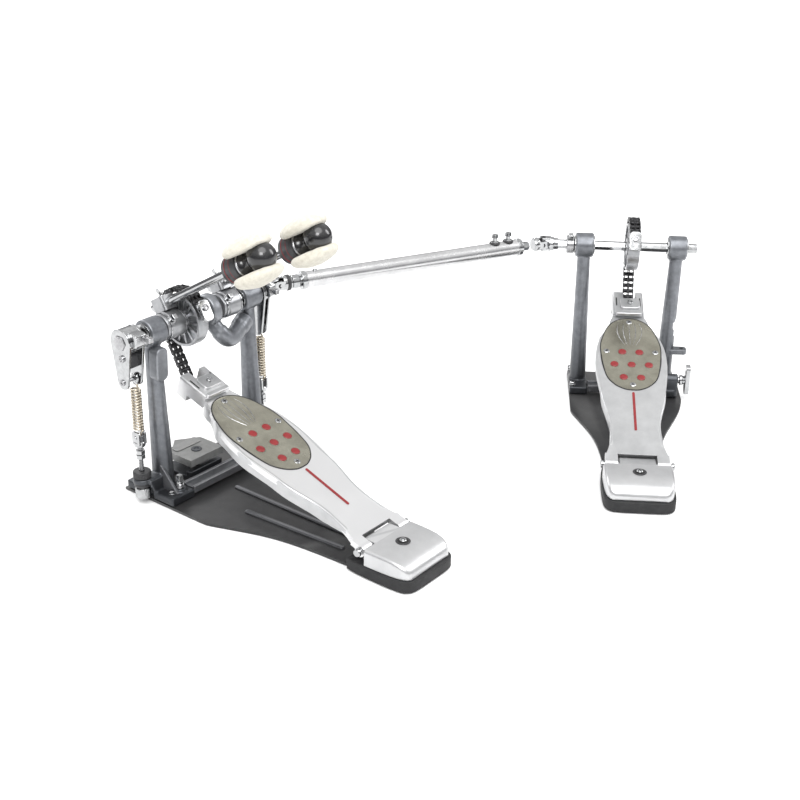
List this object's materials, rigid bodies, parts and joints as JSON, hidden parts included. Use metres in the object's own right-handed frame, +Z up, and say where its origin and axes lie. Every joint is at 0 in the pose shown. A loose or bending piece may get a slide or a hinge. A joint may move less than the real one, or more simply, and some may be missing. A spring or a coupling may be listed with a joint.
{
  "type": "double bass drum pedal",
  "caption": "Chain-drive bass drum pedal with a second pedal linked by a telescopic shaft, twin felt beaters, sprung rockers and a hoop clamp.",
  "frame": {"origin": "on the floor under the primary axle, on the primary footboard's centreline, in the plane of the primary base plate's underside", "axes": "+X along the primary axle towards the second pedal, +Y towards the drum, +Z up"},
  "size_m": [0.7304, 0.5283, 0.3424],
  "materials": {
    "cast_grey": "satin grey paint on castings",
    "black_steel": "satin black powder coat",
    "board_aluminium": "satin cast aluminium",
    "smoked_metal": "smoke tinted brushed metal",
    "red_grip": "moulded red grips",
    "black_rubber": "moulded rubber",
    "chain_black": "black roller chain",
    "chrome": "polished plating",
    "tube_silver": "satin anodised tube",
    "spring_steel": "yellow zinc spring wire",
    "knob_black": "knurled black knob",
    "beater_black": "black moulded core",
    "beater_felt": "hard wool felt",
    "bearing_steel": "bearing rings"
  },
  "bodies": {
    "primary_frame": {"primary_base_plate": "black_steel", "primary_heel_plate": "board_aluminium", "primary_heel_pad": "black_rubber", "primary_hinge_pin": "chrome", "primary_left_post": "cast_grey", "primary_right_post": "cast_grey", "primary_crossbar": "black_steel", "primary_bearings": "bearing_steel", "centre_bearing_arm": "cast_grey", "hoop_clamp_base": "cast_grey", "spur_screws": "chrome", "spring_adjusters": "chrome"},
    "clamp_jaw": {"hoop_clamp_jaw": "cast_grey"},
    "clamp_screw": {"hoop_clamp_screw": "chrome"},
    "left_knob": {"left_tension_knob": "knob_black"},
    "right_knob": {"right_tension_knob": "knob_black"},
    "primary_board": {"primary_footboard": "board_aluminium", "primary_insert_plate": "smoked_metal", "primary_grip_dots": "red_grip"},
    "primary_axle_unit": {"primary_axle": "chrome", "primary_cam": "cast_grey", "primary_chain_wrap": "chain_black", "primary_beater_hub": "cast_grey", "left_rocker_arm": "chrome"},
    "primary_fold_1": {"primary_chain_link_1": "chain_black"},
    "primary_fold_2": {"primary_chain_link_2": "chain_black"},
    "primary_strand": {"primary_chain_strand": "chain_black"},
    "primary_beater": {"primary_beater_rod": "chrome", "primary_beater_body": "beater_black", "primary_beater_felt": "beater_felt"},
    "left_spring_coil": {"left_spring": "spring_steel"},
    "left_hook": {"left_spring_hook": "chrome"},
    "second_axle_unit": {"second_axle": "chrome", "second_beater_hub": "cast_grey", "right_rocker_arm": "chrome"},
    "second_beater": {"second_beater_rod": "chrome", "second_beater_body": "beater_black", "second_beater_felt": "beater_felt"},
    "right_spring_coil": {"right_spring": "spring_steel"},
    "right_hook": {"right_spring_hook": "chrome"},
    "outer_shaft": {"shaft_tube": "tube_silver"},
    "inner_shaft": {"shaft_rod": "chrome"},
    "slave_frame": {"slave_base_plate": "black_steel", "slave_heel_plate": "board_aluminium", "slave_heel_pad": "black_rubber", "slave_hinge_pin": "chrome", "slave_left_post": "cast_grey", "slave_right_post": "cast_grey", "slave_crossbar": "black_steel", "slave_bearings": "bearing_steel"},
    "wing_key": {"slave_wing_key": "chrome"},
    "slave_board": {"slave_footboard": "board_aluminium", "slave_insert_plate": "smoked_metal", "slave_grip_dots": "red_grip"},
    "slave_axle_unit": {"slave_axle": "chrome", "slave_cam": "cast_grey", "slave_chain_wrap": "chain_black"},
    "slave_fold_1": {"slave_chain_link_1": "chain_black"},
    "slave_fold_2": {"slave_chain_link_2": "chain_black"},
    "slave_strand": {"slave_chain_strand": "chain_black"}
  },
  "joints": [
    {"name": "primary_press", "type": "hinge", "parent": "primary_frame", "child": "primary_board", "pos_m": [0, -0.292, 0.027], "axis": [-1, 0, 0], "range_deg": [0, 8], "stiffness_Nm_per_rad": 60, "springref_deg": -5.73},
    {"name": "primary_axle_turn", "type": "hinge", "parent": "primary_frame", "child": "primary_axle_unit", "pos_m": [0, 0, 0.203], "axis": [-1, 0, 0], "range_deg": [0, 55]},
    {"name": "primary_chain_bend_1", "type": "hinge", "parent": "primary_axle_unit", "child": "primary_fold_1", "pos_m": [0.002, 0.02753, 0.2262], "axis": [1, 0, 0], "range_deg": [0, 17.32]},
    {"name": "primary_chain_bend_2", "type": "hinge", "parent": "primary_fold_1", "child": "primary_fold_2", "pos_m": [0.002, 0.03583, 0.20644], "axis": [1, 0, 0], "range_deg": [0, 34.63]},
    {"name": "primary_chain_bend_3", "type": "hinge", "parent": "primary_fold_2", "child": "primary_strand", "pos_m": [0.002, 0.03144, 0.18547], "axis": [1, 0, 0], "range_deg": [0, 17.32]},
    {"name": "slave_press", "type": "hinge", "parent": "slave_frame", "child": "slave_board", "pos_m": [0.32164, -0.42036, 0.027], "axis": [-0.5577, 0.83, 0], "range_deg": [0, 8], "stiffness_Nm_per_rad": 60, "springref_deg": -5.73},
    {"name": "slave_axle_turn", "type": "hinge", "parent": "slave_frame", "child": "slave_axle_unit", "pos_m": [0.564, -0.2575, 0.203], "axis": [-0.5577, 0.83, 0], "range_deg": [0, 55]},
    {"name": "slave_chain_bend_1", "type": "hinge", "parent": "slave_axle_unit", "child": "slave_fold_1", "pos_m": [0.58796, -0.24381, 0.2262], "axis": [0.5577, -0.83, 0], "range_deg": [0, 17.32]},
    {"name": "slave_chain_bend_2", "type": "hinge", "parent": "slave_fold_1", "child": "slave_fold_2", "pos_m": [0.59486, -0.23917, 0.20644], "axis": [0.5577, -0.83, 0], "range_deg": [0, 34.63]},
    {"name": "slave_chain_bend_3", "type": "hinge", "parent": "slave_fold_2", "child": "slave_strand", "pos_m": [0.59121, -0.24162, 0.18547], "axis": [0.5577, -0.83, 0], "range_deg": [0, 17.32]},
    {"name": "second_axle_turn", "type": "hinge", "parent": "primary_frame", "child": "second_axle_unit", "pos_m": [0, 0, 0.203], "axis": [-1, 0, 0], "range_deg": [0, 55]},
    {"name": "left_spring_swing", "type": "hinge", "parent": "primary_frame", "child": "left_spring_coil", "pos_m": [-0.077, 0, 0.082], "axis": [1, 0, 0], "range_deg": [0, 22.26]},
    {"name": "left_spring_stretch", "type": "slide", "parent": "left_spring_coil", "child": "left_hook", "axis": [0, 0, 1], "range_m": [0, 0.02762], "deforming": ["left_spring"]},
    {"name": "right_spring_swing", "type": "hinge", "parent": "primary_frame", "child": "right_spring_coil", "pos_m": [0.122, 0, 0.082], "axis": [1, 0, 0], "range_deg": [0, 22.26]},
    {"name": "right_spring_stretch", "type": "slide", "parent": "right_spring_coil", "child": "right_hook", "axis": [0, 0, 1], "range_m": [0, 0.02762], "deforming": ["right_spring"]},
    {"name": "primary_beater_height", "type": "slide", "parent": "primary_axle_unit", "child": "primary_beater", "axis": [0, -0.866, 0.5], "range_m": [-0.015, 0.03]},
    {"name": "second_beater_height", "type": "slide", "parent": "second_axle_unit", "child": "second_beater", "axis": [0, -0.866, 0.5], "range_m": [-0.015, 0.03]},
    {"name": "outer_shaft_turn", "type": "hinge", "parent": "primary_frame", "child": "outer_shaft", "pos_m": [0.152, 0, 0.203], "axis": [-0.907, 0.4211, 0], "range_deg": [0, 55]},
    {"name": "shaft_length", "type": "slide", "parent": "primary_frame", "child": "slave_frame", "axis": [0.907, -0.4211, 0], "range_m": [-0.025, 0.1]},
    {"name": "inner_shaft_turn", "type": "hinge", "parent": "slave_frame", "child": "inner_shaft", "pos_m": [0.4993, -0.16122, 0.203], "axis": [-0.907, 0.4211, 0], "range_deg": [0, 55]},
    {"name": "wing_key_turn", "type": "hinge", "parent": "slave_frame", "child": "wing_key", "pos_m": [0.57938, -0.33776, 0.027], "axis": [0.5577, -0.83, 0], "range_deg": [-90, 90]},
    {"name": "left_knob_turn", "type": "hinge", "parent": "primary_frame", "child": "left_knob", "pos_m": [-0.077, 0, 0.026], "axis": [0, 0, 1], "range_deg": [-180, 180]},
    {"name": "right_knob_turn", "type": "hinge", "parent": "primary_frame", "child": "right_knob", "pos_m": [0.122, 0, 0.026], "axis": [0, 0, 1], "range_deg": [-180, 180]},
    {"name": "clamp_jaw_travel", "type": "slide", "parent": "primary_frame", "child": "clamp_jaw", "axis": [0, 0, 1], "range_m": [-0.005, 0]},
    {"name": "clamp_screw_turn", "type": "hinge", "parent": "clamp_jaw", "child": "clamp_screw", "pos_m": [0.012, 0.004, 0], "axis": [0, 0, 1], "range_deg": [-180, 180]}
  ],
  "couplings": [
    {"joint": "primary_axle_turn", "follows": "primary_press", "ratio": 6.875},
    {"joint": "primary_chain_bend_1", "follows": "primary_press", "ratio": 2.1644},
    {"joint": "primary_chain_bend_2", "follows": "primary_press", "ratio": 4.3288},
    {"joint": "primary_chain_bend_3", "follows": "primary_press", "ratio": 2.1644},
    {"joint": "slave_axle_turn", "follows": "slave_press", "ratio": 6.875},
    {"joint": "slave_chain_bend_1", "follows": "slave_press", "ratio": 2.1644},
    {"joint": "slave_chain_bend_2", "follows": "slave_press", "ratio": 4.3288},
    {"joint": "slave_chain_bend_3", "follows": "slave_press", "ratio": 2.1644},
    {"joint": "second_axle_turn", "follows": "slave_press", "ratio": 6.875},
    {"joint": "left_spring_swing", "follows": "primary_press", "ratio": 2.783},
    {"joint": "left_spring_stretch", "follows": "primary_press", "m_per_rad": 0.19781},
    {"joint": "right_spring_swing", "follows": "slave_press", "ratio": 2.783},
    {"joint": "right_spring_stretch", "follows": "slave_press", "m_per_rad": 0.19781},
    {"joint": "outer_shaft_turn", "follows": "slave_press", "ratio": 6.875},
    {"joint": "inner_shaft_turn", "follows": "slave_press", "ratio": 6.875}
  ]
}
